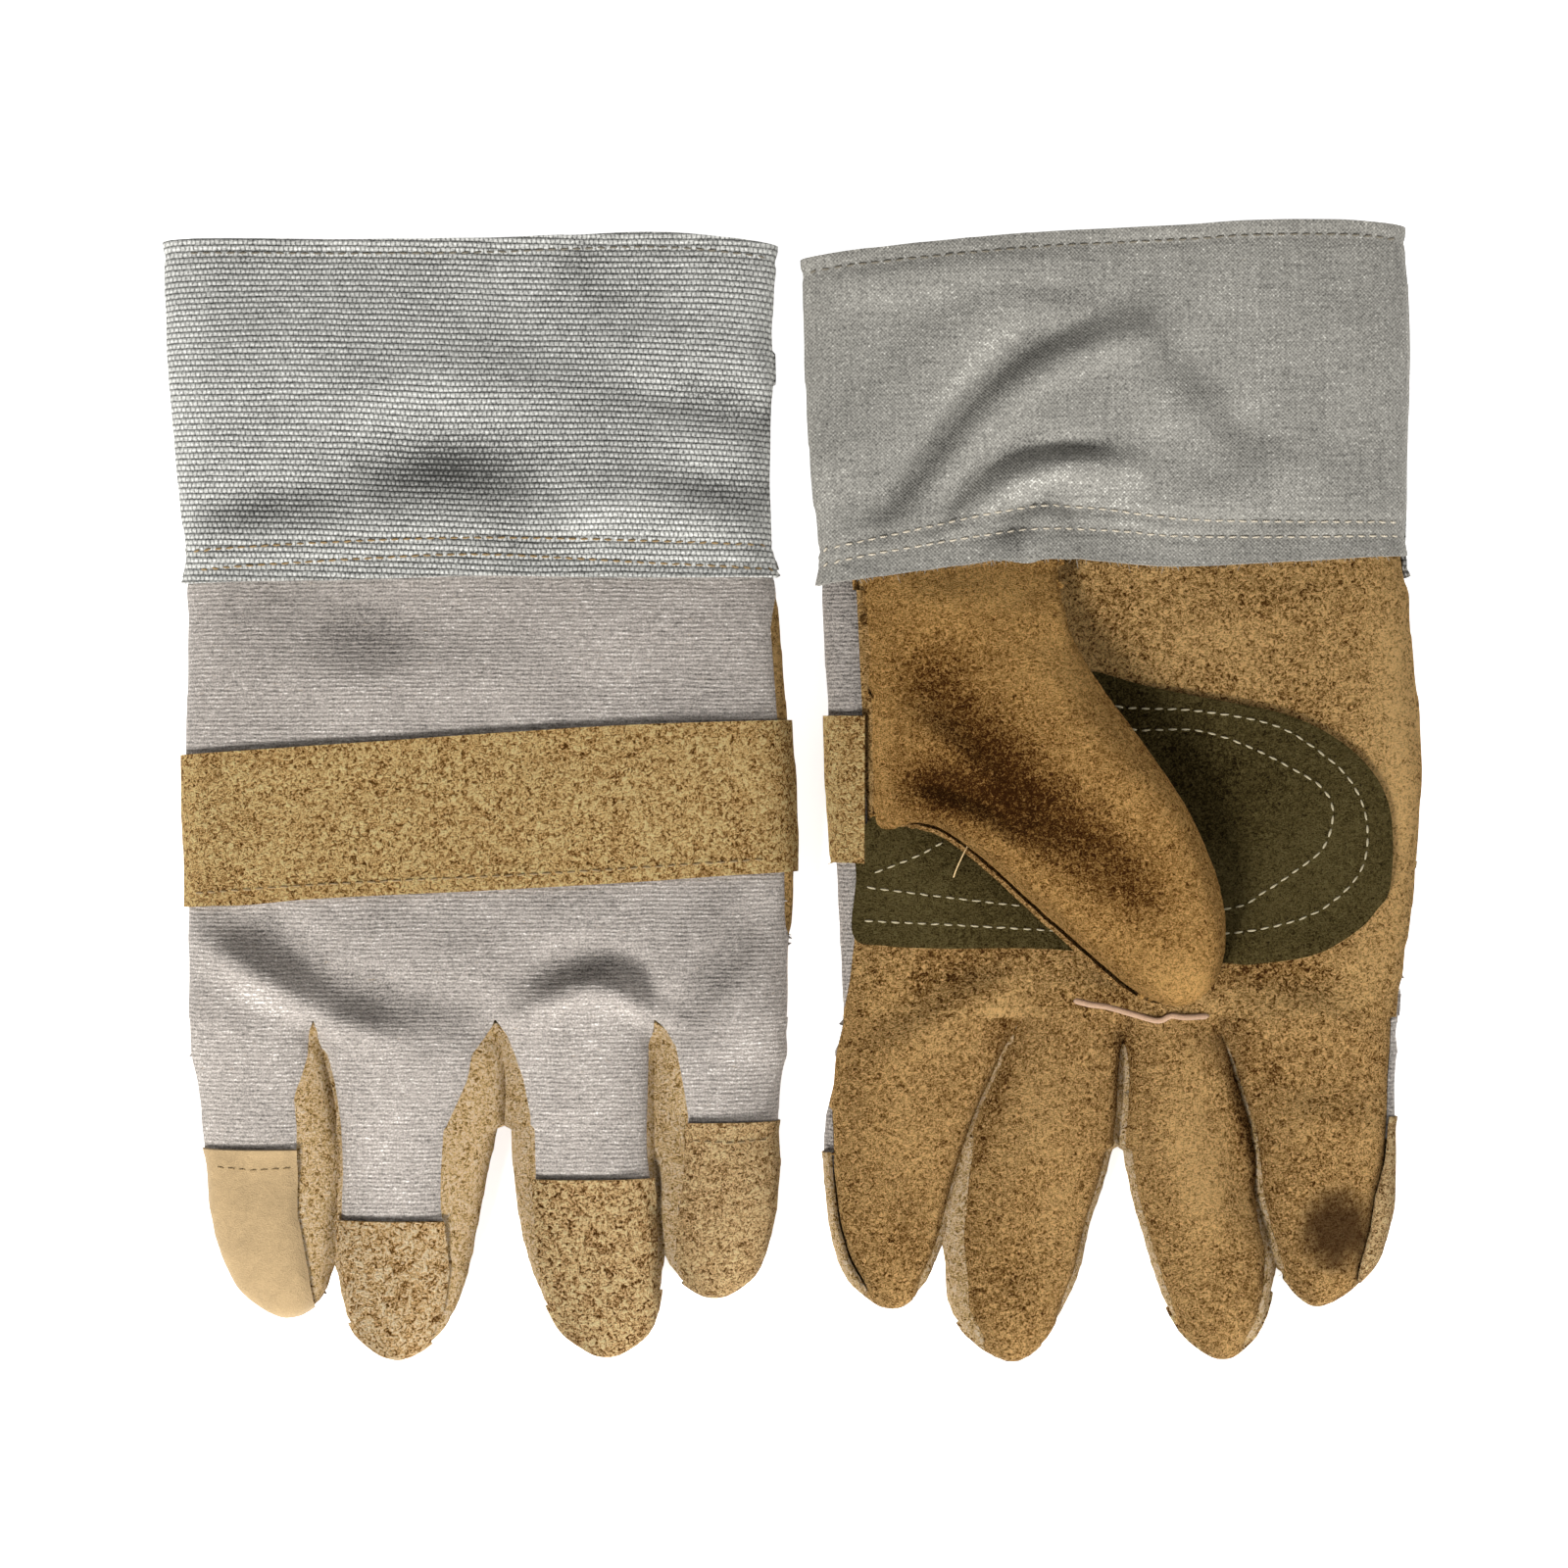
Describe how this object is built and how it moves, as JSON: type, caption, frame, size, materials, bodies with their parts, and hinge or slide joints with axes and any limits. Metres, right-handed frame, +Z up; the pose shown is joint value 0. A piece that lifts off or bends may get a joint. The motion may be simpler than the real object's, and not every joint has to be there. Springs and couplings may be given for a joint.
{
  "type": "pair of gardening gloves",
  "caption": "Leather-palm work gloves lying flat, one palm down and one palm up, with canvas backs, wide canvas cuffs, knuckle straps and fingertip caps; fingers curl and thumbs unfold.",
  "frame": {"origin": "middle of the pair's footprint, on the surface that it lies on", "axes": "+X across the pair from the left glove to the right one, +Y from the fingers to the cuffs, +Z up"},
  "size_m": [0.2944, 0.2656, 0.03],
  "materials": {
    "suede": "coarse split-leather nap, matt",
    "strap_suede": "split leather, short nap",
    "cap_leather": "smooth split leather",
    "olive_suede": "dark olive suede",
    "back_canvas": "heathered ribbed cotton canvas",
    "cuff_twill": "coarse twill canvas, stiffened",
    "cuff_weave": "fine plain-weave canvas, stiffened",
    "fleece": "brushed cotton fleece",
    "welt": "pale leather welt",
    "thread": "off-white cotton thread"
  },
  "bodies": {
    "left_hand": {"left_cuff_back": "cuff_twill", "left_cuff_palm": "cuff_weave", "left_back_panel": "back_canvas", "left_palm_panel": "suede", "left_palm_lining": "fleece", "left_palm_patch": "olive_suede", "left_knuckle_strap": "strap_suede", "left_thumb_wing": "suede", "left_finger_welt": "welt", "left_hand_stitching": "thread"},
    "left_index": {"left_index_front": "suede", "left_index_back": "back_canvas", "left_index_cap": "cap_leather", "left_index_fourchette": "suede"},
    "left_middle": {"left_middle_front": "suede", "left_middle_back": "back_canvas", "left_middle_cap": "cap_leather", "left_middle_fourchette": "suede"},
    "left_ring": {"left_ring_front": "suede", "left_ring_back": "back_canvas", "left_ring_cap": "cap_leather", "left_ring_fourchette": "suede"},
    "left_little": {"left_little_front": "suede", "left_little_back": "back_canvas", "left_little_cap": "cap_leather", "left_little_fourchette": "suede"},
    "left_thumb": {"left_thumb_outer": "suede", "left_thumb_inner": "suede"},
    "right_hand": {"right_cuff_back": "cuff_twill", "right_cuff_palm": "cuff_weave", "right_back_panel": "back_canvas", "right_palm_panel": "suede", "right_palm_lining": "fleece", "right_palm_patch": "olive_suede", "right_knuckle_strap": "strap_suede", "right_thumb_wing": "suede", "right_finger_welt": "welt", "right_hand_stitching": "thread"},
    "right_index": {"right_index_front": "suede", "right_index_back": "back_canvas", "right_index_cap": "cap_leather", "right_index_fourchette": "suede"},
    "right_middle": {"right_middle_front": "suede", "right_middle_back": "back_canvas", "right_middle_cap": "cap_leather", "right_middle_fourchette": "suede"},
    "right_ring": {"right_ring_front": "suede", "right_ring_back": "back_canvas", "right_ring_cap": "cap_leather", "right_ring_fourchette": "suede"},
    "right_little": {"right_little_front": "suede", "right_little_back": "back_canvas", "right_little_cap": "cap_leather", "right_little_fourchette": "suede"},
    "right_thumb": {"right_thumb_outer": "suede", "right_thumb_inner": "suede"}
  },
  "joints": [
    {"name": "left_index_curl", "type": "hinge", "parent": "left_hand", "child": "left_index", "pos_m": [-0.0722, -0.05335, 0.0132], "axis": [1, 0, 0], "range_deg": [0, 75]},
    {"name": "left_middle_curl", "type": "hinge", "parent": "left_hand", "child": "left_middle", "pos_m": [-0.0722, -0.05335, 0.0132], "axis": [1, 0, 0], "range_deg": [0, 75]},
    {"name": "left_ring_curl", "type": "hinge", "parent": "left_hand", "child": "left_ring", "pos_m": [-0.0722, -0.05335, 0.0132], "axis": [1, 0, 0], "range_deg": [0, 75]},
    {"name": "left_little_curl", "type": "hinge", "parent": "left_hand", "child": "left_little", "pos_m": [-0.0722, -0.05335, 0.0132], "axis": [1, 0, 0], "range_deg": [0, 75]},
    {"name": "left_thumb_unfold", "type": "hinge", "parent": "left_hand", "child": "left_thumb", "pos_m": [-0.1048, 0.00995, 0], "axis": [0.809, 0.5878, 0], "range_deg": [0, 110]},
    {"name": "right_index_curl", "type": "hinge", "parent": "right_hand", "child": "right_index", "pos_m": [0.0762, -0.05335, 0.0168], "axis": [-1, 0, 0], "range_deg": [0, 75]},
    {"name": "right_middle_curl", "type": "hinge", "parent": "right_hand", "child": "right_middle", "pos_m": [0.0762, -0.05335, 0.0168], "axis": [-1, 0, 0], "range_deg": [0, 75]},
    {"name": "right_ring_curl", "type": "hinge", "parent": "right_hand", "child": "right_ring", "pos_m": [0.0762, -0.05335, 0.0168], "axis": [-1, 0, 0], "range_deg": [0, 75]},
    {"name": "right_little_curl", "type": "hinge", "parent": "right_hand", "child": "right_little", "pos_m": [0.0762, -0.05335, 0.0168], "axis": [-1, 0, 0], "range_deg": [0, 75]},
    {"name": "right_thumb_unfold", "type": "hinge", "parent": "right_hand", "child": "right_thumb", "pos_m": [0.0436, 0.00995, 0.03], "axis": [-0.809, -0.5878, 0], "range_deg": [0, 110]},
    {"name": "gloves_apart", "type": "slide", "parent": "left_hand", "child": "right_hand", "axis": [1, 0, 0], "range_m": [0, 0.25]}
  ]
}
